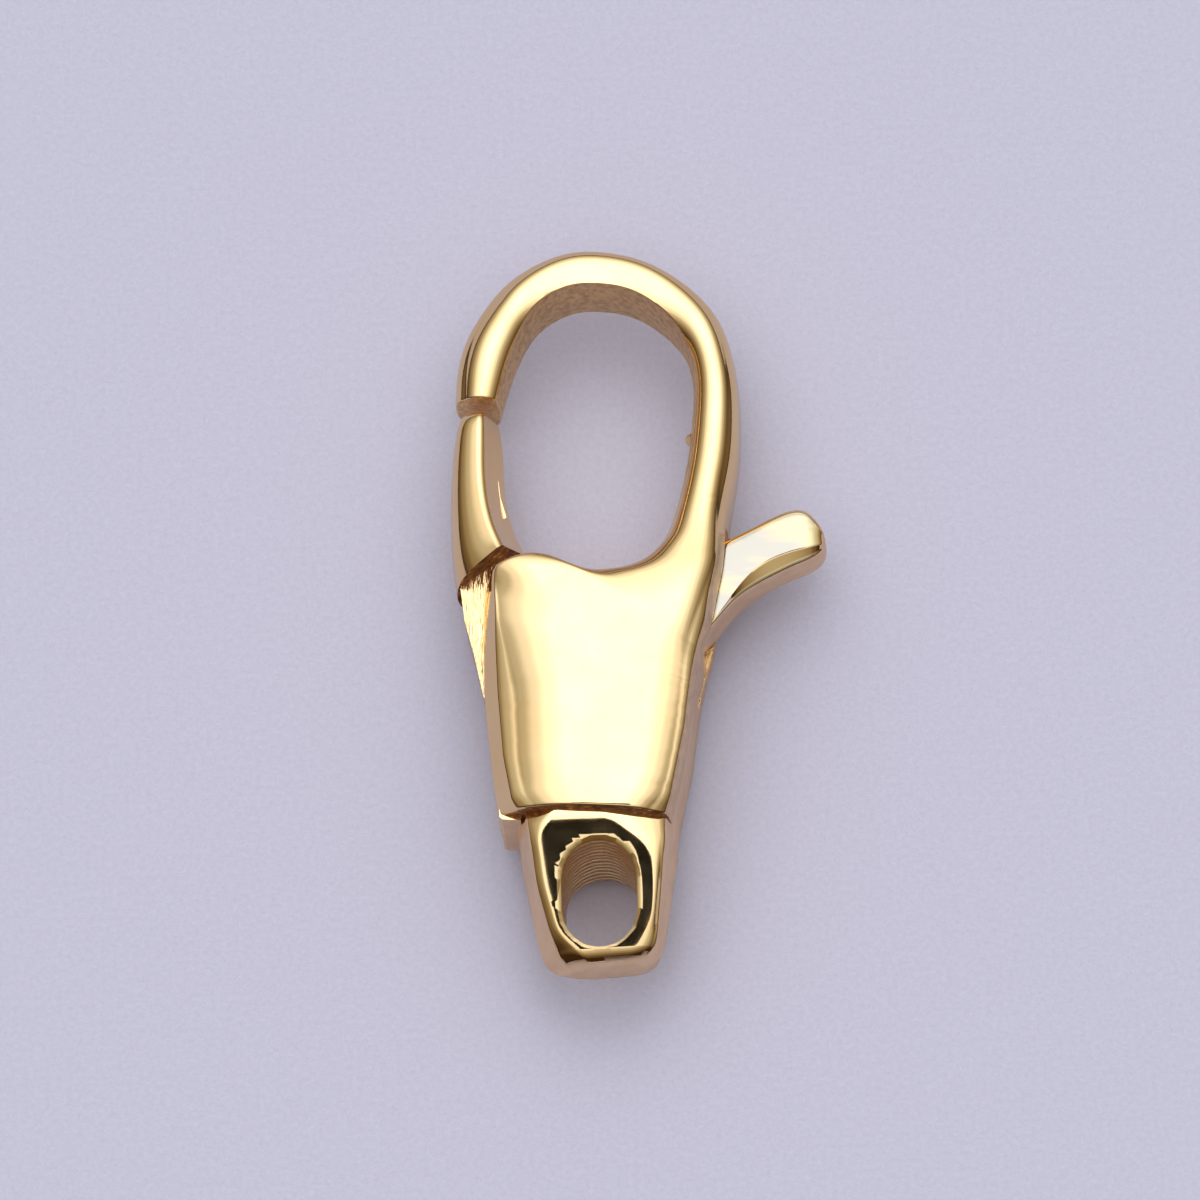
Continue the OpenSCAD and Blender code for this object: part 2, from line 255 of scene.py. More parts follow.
def coat(links, shader, tone, dull, relief, metallic=1.0):
    links.new(tone.outputs["Color"], shader.inputs["Base Color"])
    links.new(dull.outputs["Result"], shader.inputs["Roughness"])
    links.new(relief.outputs["Normal"], shader.inputs["Normal"])
    shader.inputs["Metallic"].default_value = metallic


gold = {
    "pale": (1.0, 0.75, 0.41), "deep": (1.0, 0.715, 0.36), "dull": (0.05, 0.13),
    "cloudPerMm": 0.6, "wearPerMm": 2.2, "peelPerMm": 5.0, "wavePerMm": 1.1, "peelMm": 0.0007, "waveMm": 0.0021,
}


def polishedGold():
    finish, nodes, links, shader, centre = newFinish("polishedGold")
    cloud = grainOf(nodes, links, centre, gold["cloudPerMm"])
    wear = grainOf(nodes, links, centre, gold["wearPerMm"], 3.0)
    peel = grainOf(nodes, links, centre, gold["peelPerMm"])
    wave = grainOf(nodes, links, centre, gold["wavePerMm"], 1.0)
    tone = toneRamp(nodes, links, cloud.outputs["Fac"], [(0.35, gold["deep"]), (0.65, gold["pale"])])
    dull = spread(nodes, links, wear.outputs["Fac"], *gold["dull"])
    fine = bumped(nodes, links, peel.outputs["Fac"], gold["peelMm"])
    coat(links, shader, tone, dull, bumped(nodes, links, wave.outputs["Fac"], gold["waveMm"], fine))
    return finish


# the bore of the eye, with the grooves that its drill left
drilled = {
    "grooveMm": 0.22, "grooveDeepMm": 0.035, "gritMm": 0.02, "dull": (0.2, 0.4),
    "tones": [(0.0, (0.62, 0.34, 0.12)), (0.45, (0.95, 0.64, 0.30)), (1.0, (1.0, 0.80, 0.48))],
}


def drilledWall():
    finish, nodes, links, shader, centre = newFinish("drilledWall")
    rings = nodes.new("ShaderNodeTexWave")
    rings.wave_type, rings.bands_direction = "BANDS", "Z"
    rings.inputs["Scale"].default_value = 1000 / drilled["grooveMm"] / 20 * 2 * math.pi  # the wave counts 20 radians
    rings.inputs["Distortion"].default_value = 2.5
    rings.inputs["Detail"].default_value = 3.0
    rings.inputs["Detail Scale"].default_value = 1.5
    links.new(centre.outputs["Vector"], rings.inputs["Vector"])
    patch = grainOf(nodes, links, centre, 4.0, 3.0)
    grooves = bumped(nodes, links, rings.outputs["Fac"], drilled["grooveDeepMm"])
    coat(links, shader, toneRamp(nodes, links, rings.outputs["Fac"], drilled["tones"]),
         spread(nodes, links, patch.outputs["Fac"], *drilled["dull"]),
         bumped(nodes, links, patch.outputs["Fac"], drilled["gritMm"], grooves))
    return finish


# grain of the tones and roughness: how many to a millimetre, detail, roughness; marks are the bump's own grain
metals = {
    "castSkin": {  # the hook's inner wall and end, and the slot
        "grain": (6.0, 4.0), "tones": [(0.34, (0.74, 0.45, 0.20)), (0.60, (1.0, 0.72, 0.38))],
        "dull": (0.22, 0.42), "marks": (9.0, 4.0, 0.6), "marksMm": 0.05,
    },
    "sideSatin": {  # the walls, less polished than the faces
        "grain": (2.0, 3.0), "tones": [(0.35, (0.93, 0.66, 0.40)), (0.65, (1.0, 0.75, 0.48))],
        "dull": (0.26, 0.40), "marks": (12.0, 3.0), "marksMm": 0.006,
    },
    "dullEdgeShaded": {  # the slot's edge beside the thumb tab, left rougher where no wheel reaches; its darker tone is painted shade
        "grain": (4.0, 3.0), "tones": [(0.35, (0.76, 0.56, 0.37)), (0.65, (0.90, 0.68, 0.45))],
        "dull": (0.4, 0.55), "marksMm": 0.01, "metallic": 0.9,
    },
    "thumbPaintedSheen": {  # painted highlight and shade: greyish streaks along the tab that mirror the lamp whiter and dimmer than gold
        "turn": -32, "stretch": (0.3, 1.0, 1.0), "grain": (1.6, 2.0),
        "tones": [(0.38, (0.45, 0.43, 0.385)), (0.50, (0.54, 0.48, 0.36)), (0.60, (0.78, 0.64, 0.36))],
        "dull": (0.1, 0.2), "marks": (5.0, 2.0), "marksMm": 0.002,
    },
    "rawSeatShaded": {  # the unpolished face under the gate's foot and the body's step over the tail: rough, and near black with painted shade
        "grain": (5.0, 4.0), "dull": (0.45, 0.7),
        "tones": [(0.35, (0.16, 0.055, 0.02)), (0.6, (0.40, 0.18, 0.06)), (0.72, (0.9, 0.55, 0.2))],
        "marks": (8.0, 4.0, 0.6), "marksMm": 0.06, "metallic": 0.8,
    },
    "filedGold": {  # the tongue where it shows beside the body
        "turn": -14, "stretch": (1.0, 0.10, 0.5), "grain": (7.0, 3.0, 0.6),
        "tones": [(0.36, (0.95, 0.70, 0.38)), (0.52, gold["deep"]), (0.62, gold["pale"])],
        "dull": (0.08, 0.2), "marksMm": 0.09,
    },
    "turnedSteel": {  # the pin
        "stretch": (1.0, 1.0, 14.0), "grain": (3.0, 3.0), "dull": (0.2, 0.35), "marksMm": 0.002,
        "tones": [(0.3, (0.50, 0.48, 0.45)), (0.7, (0.68, 0.66, 0.62))],
    },
}


def grainedMetal(name):
    metal = metals[name]
    finish, nodes, links, shader, centre = newFinish(name, metal.get("turn", 0), metal.get("stretch", (1, 1, 1)))
    cloud = grainOf(nodes, links, centre, *metal["grain"])
    marks = grainOf(nodes, links, centre, *metal["marks"]) if "marks" in metal else cloud
    coat(links, shader, toneRamp(nodes, links, cloud.outputs["Fac"], metal["tones"]),
         spread(nodes, links, cloud.outputs["Fac"], *metal["dull"]),
         bumped(nodes, links, marks.outputs["Fac"], metal["marksMm"]), metal.get("metallic", 1.0))
    return finish


sheet = {
    "tones": [(0.3, (0.56, 0.546, 0.685)), (0.7, (0.63, 0.615, 0.757))], "roughness": 0.85, "specular": 0.1,
    "fibreMm": 0.02, "shadedMirror": (0.47, 0.44, 0.54, 1),  # painted shade: the darker paper that the metal mirrors
    "size": 2.4, "under": -0.00001,  # metres
}


def paperSheet():
    finish, nodes, links, shader, centre = newFinish("paperSheet")
    fibre = grainOf(nodes, links, centre, 7.0, 4.0, 0.75)
    tone = toneRamp(nodes, links, fibre.outputs["Fac"], sheet["tones"])
    links.new(tone.outputs["Color"], shader.inputs["Base Color"])
    nap = bumped(nodes, links, fibre.outputs["Fac"], sheet["fibreMm"])
    links.new(nap.outputs["Normal"], shader.inputs["Normal"])
    shader.inputs["Roughness"].default_value = sheet["roughness"]
    shader.inputs["Specular IOR Level"].default_value = sheet["specular"]
    # painted shade: rays mirrored off the metal see this darker paper
    dim, either = nodes.new("ShaderNodeBsdfDiffuse"), nodes.new("ShaderNodeMixShader")
    seen = nodes.new("ShaderNodeLightPath")
    dim.inputs["Color"].default_value = sheet["shadedMirror"]
    links.new(seen.outputs["Is Glossy Ray"], either.inputs["Fac"])
    links.new(shader.outputs["BSDF"], either.inputs[1])
    links.new(dim.outputs["BSDF"], either.inputs[2])
    links.new(either.outputs["Shader"], nodes["Material Output"].inputs["Surface"])
    return finish


finishes = {
    "polished": polishedGold(), "cast": grainedMetal("castSkin"), "drilled": drilledWall(),
    "filed": grainedMetal("filedGold"), "rawAndShaded": grainedMetal("rawSeatShaded"), "satin": grainedMetal("sideSatin"),
    "dull": grainedMetal("dullEdgeShaded"), "thumb": grainedMetal("thumbPaintedSheen"), "steel": grainedMetal("turnedSteel"),
    "paper": paperSheet(),
}
print("finishes made", len(finishes))


# cast body: sections from the body's end, round the loop, to the hook's end
casting = {
    # left x, left y, right x, right y, thickness at the left and at the right; then how far its left and
    # right sides have become those of the saddle and of the hook
    "bodyRows": [
        (-2.58, -6.72, 1.93, -7.02, 3.93, 3.93, 0, 0, 0), (-2.68, -6.2, 2.06, -6.4, 4.07, 4.07, 0, 0, 0),
        (-2.80, -5.2, 2.28, -5.3, 4.17, 4.17, 0, 0, 0), (-2.93, -3.9, 2.44, -4.0, 4.20, 4.20, 0, 0, 0),
        (-3.00, -2.4, 2.50, -3.535, 4.20, 4.20, 0, 0, 0), (-3.00, -1.1, 2.54, -3.22, 4.20, 4.195, 0, 0, 0.01),
        (-2.94, -0.35, 2.58, -2.975, 4.19, 4.19, 0.1, 0, 0.03), (-2.72, 0.02, 2.62, -2.765, 4.16, 4.18, 0.6, 0, 0.05),
        (-2.37, 0.22, 2.65, -2.62, 4.12, 4.17, 1, 0, 0.07), (-1.95, 0.33, 2.68, -2.50, 4.09, 4.16, 1, 0, 0.09),
        (-1.45, 0.30, 2.715, -2.34, 4.03, 4.14, 1, 0, 0.12), (-1.0, 0.10, 2.785, -2.10, 3.97, 4.10, 1, 0, 0.18),
        (-0.45, -0.12, 2.93, -1.55, 3.86, 3.97, 1, 0, 0.34), (0.1, -0.13, 3.08, -0.72, 3.66, 3.72, 1, 0.05, 0.6),
        (0.60, -0.02, 3.22, -0.03, 3.43, 3.46, 1, 0.2, 0.8), (1.08, 0.25, 3.29, 0.55, 3.18, 3.20, 1, 0.4, 0.92),
        (1.48, 0.68, 3.34, 1.12, 2.95, 2.96, 1, 0.65, 0.98), (1.77, 1.21, 3.39, 1.70, 2.74, 2.74, 1, 0.85, 1),
    ],
    # inner x, inner y as shares of the loop, direction outwards, width and thickness as shares of
    # the arm, how flat the crown's inner side is, where the crest lies
    "hookRows": [
        (0.446, 0.368, 4, 1.17, 1.04, 0, 0.52), (0.478, 0.510, 0, 1.09, 1.00, 0, 0.52),
        (0.494, 0.648, 0, 1.00, 1.00, 0, 0.52), (0.474, 0.752, 9, 0.96, 0.99, 0, 0.51),
        (0.414, 0.842, 24, 0.98, 0.97, 0.1, 0.49), (0.301, 0.921, 45, 0.93, 0.93, 0.45, 0.46),
        (0.162, 0.977, 68, 0.89, 0.89, 0.9, 0.43), (0.020, 0.998, 86, 0.915, 0.87, 1, 0.43),
        (-0.121, 0.998, 98, 0.94, 0.87, 0.9, 0.43), (-0.242, 0.968, 117, 0.98, 0.89, 0.5, 0.43),
        (-0.337, 0.917, 134, 1.04, 0.92, 0.15, 0.43), (-0.396, 0.852, 146, 1.11, 0.94, 0, 0.42),
        (-0.451, 0.768, 157, 1.17, 0.95, 0, 0.42), (-0.492, 0.682, 168, 1.11, 0.92, 0, 0.42),
        (-0.521, 0.614, 176, 0.99, 0.87, 0, 0.42),
    ],
    # edges of the front, seen from above: y, x
    "leftEdge": [(-7.1, -1.93), (-6.76, -2.058), (-6.47, -2.23), (-5.25, -2.454), (-3.51, -2.597),
                 (-2.08, -2.655), (-1.0, -2.665), (-0.37, -2.69), (0.6, -2.71)],
    "leftCrease": [(-7.1, -1.20), (-6.79, -1.54), (-6.37, -1.83), (-5.53, -2.01), (-3.65, -2.10),
                   (-2.22, -2.347), (-1.36, -2.53), (-0.234, -2.62), (0.6, -2.64)],
    "rightEdge": [(-7.1, 1.76), (-6.5, 1.95), (-5.56, 2.13), (-4.43, 2.35), (-3.4, 2.53),
                  (-2.46, 2.69), (-1.77, 2.85), (-0.7, 2.97), (0.3, 3.17)],
    "rightCrease": [(-7.1, 1.30), (-6.88, 1.47), (-6.59, 1.66), (-5.89, 1.89), (-4.98, 2.05),
                    (-3.72, 2.22), (-2.67, 2.33), (-1.46, 2.56), (0.3, 2.95)],
    # each side of the front: how far its crease lies under the crest, the span that takes, the band's slope,
    # the wall's lean and its bend under the edge, the edge's rounding, how full the band and the pillow are
    "leftSide": {"drop": 0.45, "span": 2.2, "slope": 0.49, "lean": 0.015, "bend": (0.2, 0.05, 0.10),
                 "rounding": (0.06, 0.04), "band": 0.64, "full": 2.7, "points": (6, 16)},
    "rightSide": {"drop": 0.30, "span": 2.0, "slope": 0.55, "lean": 0.01, "bend": (0.3, 0.03, 0.12),
                  "rounding": (0.05, 0.035), "band": 0.7, "full": 4.05, "points": (4, 14)},
    "crest": 0.55, "crestAtHook": 0.52, "wallHeight": 0.85, "endRoll": 0.06, "hookEndRoll": 0.05, "spacing": 0.15,
    "nibRows": [(2.55, 0.11, 0.48), (2.38, 0.10, 0.42), (2.29, 0.075, 0.30), (2.235, 0.035, 0.14)],  # x, half sizes
    "nibAt": (4.02, 0.05),
}


jagPlaces = np.linspace(-7.1, 0.6, 120)
creaseJag = np.random.default_rng(7).normal(0, 0.014, (2, len(jagPlaces)))  # the creases' unevenness, end to end


def along(table, y, jag=None):
    ys, xs = zip(*table)
    off = 0
    if jag is not None:  # it fades out towards the saddle
        off = float(np.interp(y, jagPlaces, creaseJag[jag])) * softStep(-y, 2.6, 3.6)
    return float(np.interp(y, ys, xs)) + off


def pillowSide(edge, crease, span, top, drop, side):  # wall, bevelled band, crease and pillow up to the crest
    wall, (up, back, down), (out, over) = casting["wallHeight"], side["bend"], side["rounding"]
    creaseTop = top - drop
    edgeTop = creaseTop - side["slope"] * (crease - edge)
    bandPoints, pillowPoints = side["points"]
    points = [(0, 0)] + lineTo((0, 0), (side["lean"], wall), 4)
    points += arcTo(points[-1], (side["lean"] * 2, wall + up), (edge - back, edgeTop - down), 3)
    points += arcTo(points[-1], (edge, edgeTop), (edge + out, edgeTop + over), 5)
    run, climb = np.array((crease, creaseTop)) - points[-1]
    swell = points[-1] + np.array((run * 0.5, climb * side["band"]))
    points += arcTo(points[-1], swell, (crease, creaseTop), bandPoints)
    for k in range(1, pillowPoints + 1):
        t = (k / pillowPoints)**1.4
        points.append((crease + span * t, top - drop * (1 - t)**side["full"]))
    return np.array(points)


def bodySides(left, right, thick):  # the body's front half in two runs that meet at its crest
    width, top = math.dist(left, right), thick / 2
    leftSide, rightSide = casting["leftSide"], casting["rightSide"]

    def across(x):
        return max((x - left[0]) / (right[0] - left[0]) * width, 0.02)

    edge, crease = across(along(casting["leftEdge"], left[1])), across(along(casting["leftCrease"], left[1], 0))
    crease = max(crease, edge + 0.08)
    edgeRight = max(width - across(along(casting["rightEdge"], right[1])), 0.06)
    creaseRight = max(width - across(along(casting["rightCrease"], right[1], 1)), edgeRight + 0.06)
    crest = width * casting["crest"]
    span, spanRight = crest - crease, width - crest - creaseRight
    drop = (leftSide["drop"] - 0.08 * softStep(-left[1], 5.8, 6.8)) * min(1, span / leftSide["span"])
    dropRight = rightSide["drop"] * min(1, spanRight / rightSide["span"])
    return (pillowSide(edge, crease, span, top, drop, leftSide),
            pillowSide(edgeRight, creaseRight, spanRight, top, dropRight, rightSide))


def saddleSide(width, thick):  # the rounded rim at the foot of the loop
    top, crest = thick / 2, width * casting["crest"]
    lip, sink, rim = 0.24, 0.14, min(0.62, crest * 0.8)
    side = [(0, 0)] + lineTo((0, 0), (0.07, top - 0.5), 7)
    side += arcTo(side[-1], (0.10, top - 0.24), (lip, top - sink), 11)
    for k in range(1, 17):
        run = (k / 16)**1.3
        side.append((lip + (crest - lip) * run, top - sink * (1 - min(run * (crest - lip) / rim / 1.6, 1))**2.4))
    return np.array(side)


def hookInner(width, thick, flat, ridge):  # crown, sharp inner edge and keeled inner wall
    top, crest, radius = thick / 2, width * ridge, width * (0.45 + 1.6 * flat)
    edge = width * 0.075

    def crownAt(a):
        return crest - radius * math.sin(a), top - radius * (1 - math.cos(a))

    turn = math.asin(min((crest - edge) / radius, 0.95))
    foot, last = crownAt(turn)[1], turn * 0.95
    side = [(0, 0)] + lineTo((0, 0), (edge * 0.85, foot - 0.05 - 0.18 * flat), 7)
    side += arcTo(side[-1], (edge, foot - 0.005), crownAt(last), 5)
    return np.array(side + [crownAt(last * (1 - k / 22)) for k in range(1, 23)])


def hookOuter(width, thick, flat, ridge):  # crown and outer wall, from the outside in
    bend = math.radians(46)
    top, radius = thick / 2, min(width * (0.775 - ridge) / math.sin(bend), 0.8)
    x = min(width * (0.225 + 0.45 * (0.52 - ridge) - 0.16 * flat), 0.33) - 0.16 * softStep(width, 1.35, 2.6)
    z = top - radius * (1 - math.cos(bend))
    middle, gather = x + radius * math.sin(bend), 1 if width < 1.6 else 1.3
    side = wallCurve((0, z * 0.85), (x - 0.14, z - 0.145), (x, z), 16)
    for k in range(1, 15):
        at = x + (width * (1 - ridge) - x) * (k / 14)**gather
        off = min(max((middle - at) / radius, 0), 1)
        side.append((at, top - radius * (1 - math.sqrt(1 - off * off))))
    return np.array(side)


def castingRings():
    rows = [(*row, 0, casting["crestAtHook"]) for row in casting["bodyRows"]]
    for x, y, turn, wide, thick, flat, ridge in casting["hookRows"]:
        out = np.array((math.cos(math.radians(turn)), math.sin(math.radians(turn))))
        inner = np.array((x * clasp["loopWidth"], y * clasp["loopLength"]))
        outer = inner + wide * clasp["armWidth"] * out
        thick *= clasp["armThick"]
        rows.append((*inner, *outer, thick, thick, 1, 1, 1, flat, ridge))
    rings = []
    rows = eased(throughRows(rows, casting["spacing"], 3), 2)
    for lx, ly, rx, ry, thick, thickRight, saddle, hook, outer, flat, ridge in rows:
        width = math.dist((lx, ly), (rx, ry))
        first, second = bodySides((lx, ly), (rx, ry), thick)
        saddle, hook, outer, flat = (min(max(v, 0), 1) for v in (saddle, hook, outer, flat))
        first = first * (1 - saddle) + saddleSide(width, thick) * saddle
        first = first * (1 - hook) + hookInner(width, thick, flat, ridge) * hook
        second = second * (1 - outer) + hookOuter(width, thick, flat, ridge) * outer
        crest = casting["crest"] * (1 - hook) + ridge * hook
        first[:, 0] *= crest * width / first[-1, 0]
        second[:, 0] *= (1 - crest) * width / second[-1, 0]
        half = [tuple(p) for p in first] + [(width - s, z) for s, z in second[-2::-1]]
        half = [(s, z * (1 + (thickRight / thick - 1) * s / width)) for s, z in half]
        rings.append(ringAt((lx, ly), (rx, ry), half))
    return rolledEnd(rolledEnd(rings, casting["hookEndRoll"])[::-1], casting["endRoll"])


body = drawOut("clasp_casting", castingRings())
print("casting drawn out", len(body.data.polygons))


# tail block with its oval eye
tail = {
    # left y, right y, left x, right x, half thickness, left draft, widths of the left and right bevels
    "rows": [
        (-6.3, -6.6, -2.17, 2.08, 1.66, 0.30, 0.75, 1.3), (-6.85, -7.0, -2.15, 2.06, 1.66, 0.30, 0.7, 1.25),
        (-7.06, -7.13, -2.12, 2.05, 1.64, 0.30, 0.5, 1.15), (-7.30, -7.30, -2.09, 2.04, 1.59, 0.31, 0.33, 0.95),
        (-7.6, -7.6, -2.05, 2.03, 1.51, 0.31, 0.22, 0.6), (-8.0, -8.0, -1.99, 1.975, 1.411, 0.31, 0.21, 0.34),
        (-8.7, -8.7, -1.865, 1.885, 1.24, 0.28, 0.21, 0.20), (-9.31, -9.27, -1.74, 1.805, 1.095, 0.31, 0.21, 0.16),
        (-9.8, -9.7, -1.635, 1.74, 0.98, 0.34, 0.21, 0.18), (-10.1, -9.98, -1.565, 1.70, 0.91, 0.38, 0.24, 0.28),
        (-10.38, -10.26, -1.48, 1.63, 0.84, 0.42, 0.38, 0.36), (-10.62, -10.47, -1.39, 1.51, 0.78, 0.44, 0.50, 0.36),
        (-10.865, -10.68, -1.28, 1.34, 0.72, 0.42, 0.56, 0.34),
    ],
    "eye": (0.043, -9.0), "eyeWidth": 1.96, "eyeLength": 2.7, "mouth": 0.11, "mouthDepth": 0.07,
    "bevelDrop": 0.12, "rightDraft": 0.24, "endRoll": 0.36, "spacing": 0.12, "flare": 0.25, "flareOver": 0.10,
    "stub": [(-2.56, -6.4), (-2.55, -6.77), (-2.47, -6.84), (-2.0, -6.88), (-1.9, -6.4)],  # unfinished corner
    "stubHeights": (-1.2, 1.0), "cutter": (0.6, 3),  # how far the eye's cutter stands out round it and in height
}


def tailHalf(width, top, leftWall, left, right):  # wall, bevel, face, bevel and wall of its front half
    drop = tail["bevelDrop"]
    sink, fall = drop + 0.5 * max(left - 0.21, 0), drop + 0.34 * max(right - 0.3, 0)
    rightWall = tail["rightDraft"] * min(1, top / 1.4)
    half = [(0, 0)] + lineTo((0, 0), (leftWall * 0.93, (top - sink) * 0.93), 7)
    half += arcTo(half[-1], (leftWall, top - sink), (leftWall + 0.05, top - sink + drop * 0.22), 5)
    half += arcTo(half[-1], (leftWall + left * 0.8, top - sink * 0.12), (leftWall + left * 1.1, top), 6)
    inner = width - rightWall - right * 1.3
    half += lineTo(half[-1], (inner, top), 12)
    shoulder = (width - rightWall - 0.07, top - fall * 0.82)
    half += arcTo(half[-1], (inner + right * 0.75, top - fall * 0.12), shoulder, 8)
    half += arcTo(half[-1], (width - rightWall, top - fall), (width - rightWall * 0.93, (top - fall) * 0.93), 5)
    return half + lineTo(half[-1], (width, 0), 7)


def tailRings():
    rows = [(lx, ly, rx, ry, *rest) for ly, ry, lx, rx, *rest in tail["rows"]]
    rings = []
    for lx, ly, rx, ry, *rest in eased(throughRows(rows, tail["spacing"], 2), 2):
        rings.append(ringAt((lx, ly), (rx, ry), tailHalf(math.dist((lx, ly), (rx, ry)), *rest)))
    last = np.mean(rings[-1], axis=0)
    kept = [ring for ring in rings[:-1] if np.linalg.norm(np.mean(ring, axis=0) - last) > tail["endRoll"]]
    return rolledEnd(kept + rings[-1:], tail["endRoll"])


def frontHeight(y):  # of the tail's face over the middle plane
    return float(np.interp(-y, [-row[0] for row in tail["rows"]], [row[4] for row in tail["rows"]]))


def ovalRing(grow, height, uneven):  # the eye's outline, a little uneven where it meets the face
    count, straight = 120, (tail["eyeLength"] - tail["eyeWidth"]) / 2
    ring, wobble = [], np.random.default_rng(3).normal(0, uneven, count)
    wobble = (np.roll(wobble, 1) + wobble + np.roll(wobble, -1)) / 1.7
    for k in range(count):
        a = 2 * math.pi * (k + 0.5) / count
        reach = tail["eyeWidth"] / 2 + grow + wobble[k]
        x, y = math.cos(a) * reach, math.sin(a) * reach
        y += straight if y > 0 else -straight
        place = (tail["eye"][0] + x, tail["eye"][1] + y)
        ring.append((*place, height(place[1])))
    return ring


def eyeRings():  # from the back to the front: wide outside the tail, drawn in at each mouth to the eye's oval
    mouth, flare, over = tail["mouth"], tail["flare"], tail["flareOver"]
    steps = [(0, -tail["mouthDepth"], 0.005), (mouth, 0, 0.008), (mouth + flare, over, 0)]
    front = [ovalRing(grow, lambda y: frontHeight(y) + rise, uneven) for grow, rise, uneven in steps]
    wide, high = tail["cutter"]
    front.append(ovalRing(wide, lambda y: high, 0))
    return [[(x, y, -z) for x, y, z in ring] for ring in front[::-1]] + front


def nibRings():  # what is left of a sprue, inside the arm
    y, z = casting["nibAt"]
    turns = np.linspace(0, 2 * math.pi, 24, endpoint=False)
    return [[(x, y + long * math.cos(a), z + high * math.sin(a)) for a in turns]
            for x, long, high in casting["nibRows"]]


block = drawOut("tail_block", tailRings())
eyeCutter = drawOut("eye_cutter", eyeRings())
joined(body, block, "UNION")
joined(body, slabOf("corner_stub", tail["stub"], *tail["stubHeights"]), "UNION")
joined(body, eyeCutter, "DIFFERENCE")
joined(body, drawOut("sprue_nib", nibRings()), "UNION")
print("tail and eye", len(body.data.polygons))

# slot, gate seat and pin bores
lever = {
    "travel": 25, "tabAngle": 29.4, "tabLength": 6.45, "tabWidth": 1.46, "bossRadius": 1.25, "camRadius": 3.05,
    "slotHalf": 0.755, "edgeGap": 0.16, "gateWidth": 1.4, "gateLength": 4.7227, "gateThick": 3.3, "plateHalf": 0.66,
    "camGap": 0.04, "seatGap": 0.09, "seatHeight": 2.4, "slotEnds": (0.997, -6.1), "slotSides": (0.48, -0.3),
    "hair": 0.0007, "bossProud": 0.004, "camShy": 0.003,  # so that no two flat faces lie in one plane
    "gateSpacing": 0.12, "tabSpacing": 0.14, "tipRoll": 0.08,
    "tongueRoot": [(-0.06, 0.28), (-0.78, 0.16)],  # its corners in the gate, as shares of that
    "tongueEnd": [(0, -0.3), (1.1, 0), (-0.25, 1.125)],  # its corners in the boss, from the pivot
    "pinBore": (0.51, 1.605), "leverBore": (0.54, 1.2),  # radius and half length, in the body and in the lever
    "gateLean": [45, 31, 22, 16, 0, -24, -48],  # degrees that its front leans, from the left to the loop
    "flash": [(-3.0, 2.95), (-2.63, 2.88), (-2.575, 2.4), (-2.42, 1.85), (-2.8, 1.6)],  # on the gate's inner wall
    "flashHeights": (0.10, 0.36), "finishCuts": (-2.1, -1.5),
    # distance along the thumb tab, its upper and lower edge, as shares
    "tabRows": [(0.10, 0.78, -0.82), (0.25, 0.50, -0.90), (0.40, 0.40, -0.92), (0.52, 0.41, -0.80),
                (0.62, 0.50, -0.62), (0.74, 0.59, -0.51), (0.86, 0.54, -0.50), (1.00, 0.46, -0.44)],
    # upper x and y, lower x and y, half thickness, width of the slope below its crease
    "thumbRows": [
        (-0.347, -0.671, 0.80, -2.706, 0.675, 0.05), (0.697, -0.552, 1.70, -2.333, 0.675, 0.05),
        (1.611, -0.10, 2.557, -1.80, 0.675, 0.05), (2.35, 0.42, 3.12, -1.22, 0.675, 0.08),
        (2.95, 0.82, 3.57, -0.68, 0.675, 0.16), (3.55, 1.12, 4.05, -0.30, 0.675, 0.32),
        (4.2, 1.45, 4.56, 0.00, 0.675, 0.40), (4.86, 1.77, 5.08, 0.25, 0.675, 0.36),
        (5.20, 1.83, 5.36, 0.36, 0.672, 0.32), (5.42, 1.76, 5.54, 0.45, 0.65, 0.28),
        (5.62, 1.59, 5.70, 0.56, 0.585, 0.22), (5.78, 1.37, 5.84, 0.70, 0.48, 0.16),
        (5.88, 1.14, 5.90, 0.88, 0.33, 0.08),
    ],
    # left x, left y, right x, right y from the loop's left foot, thickness, how far the outline has flattened
    "gateRows": [
        (-0.690, 0.996, -0.280, 1.000, 0.36, 0), (-0.790, 0.978, -0.160, 0.982, 0.53, 0),
        (-0.860, 0.932, -0.110, 0.945, 0.65, 0), (-0.940, 0.800, -0.050, 0.825, 0.70, 0),
        (-0.990, 0.604, -0.020, 0.643, 0.74, 0.10), (-1.000, 0.400, 0.045, 0.464, 0.80, 0.30),
        (-0.985, 0.204, 0.190, 0.306, 0.88, 0.60), (-0.935, 0.051, 0.330, 0.218, 0.95, 0.85),
        (-0.880, -0.055, 0.380, 0.191, 1.00, 1.00),
    ],
    "heelRows": [(-0.83, 0.22), (-0.765, -0.035), (-0.70, -0.34), (-0.665, -0.43), (-0.52, -0.47), (-0.33, -0.36)],
}
pivot = np.array(clasp["pivot"])


def turned(point, degrees):
    a = math.radians(degrees)
    x, y = point
    return np.array((x * math.cos(a) - y * math.sin(a), x * math.sin(a) + y * math.cos(a)))


def tabPoint(share, off, turn=0):
    return pivot + turned((share * lever["tabLength"], off), lever["tabAngle"] - turn)


def gatePoint(x, y):
    return np.array((x * lever["gateWidth"] - clasp["loopWidth"] / 2, y * lever["gateLength"]))


gateOut, gateIn = gatePoint(*lever["gateRows"][-1][:2]), gatePoint(*lever["gateRows"][-1][2:4])  # its foot's corners


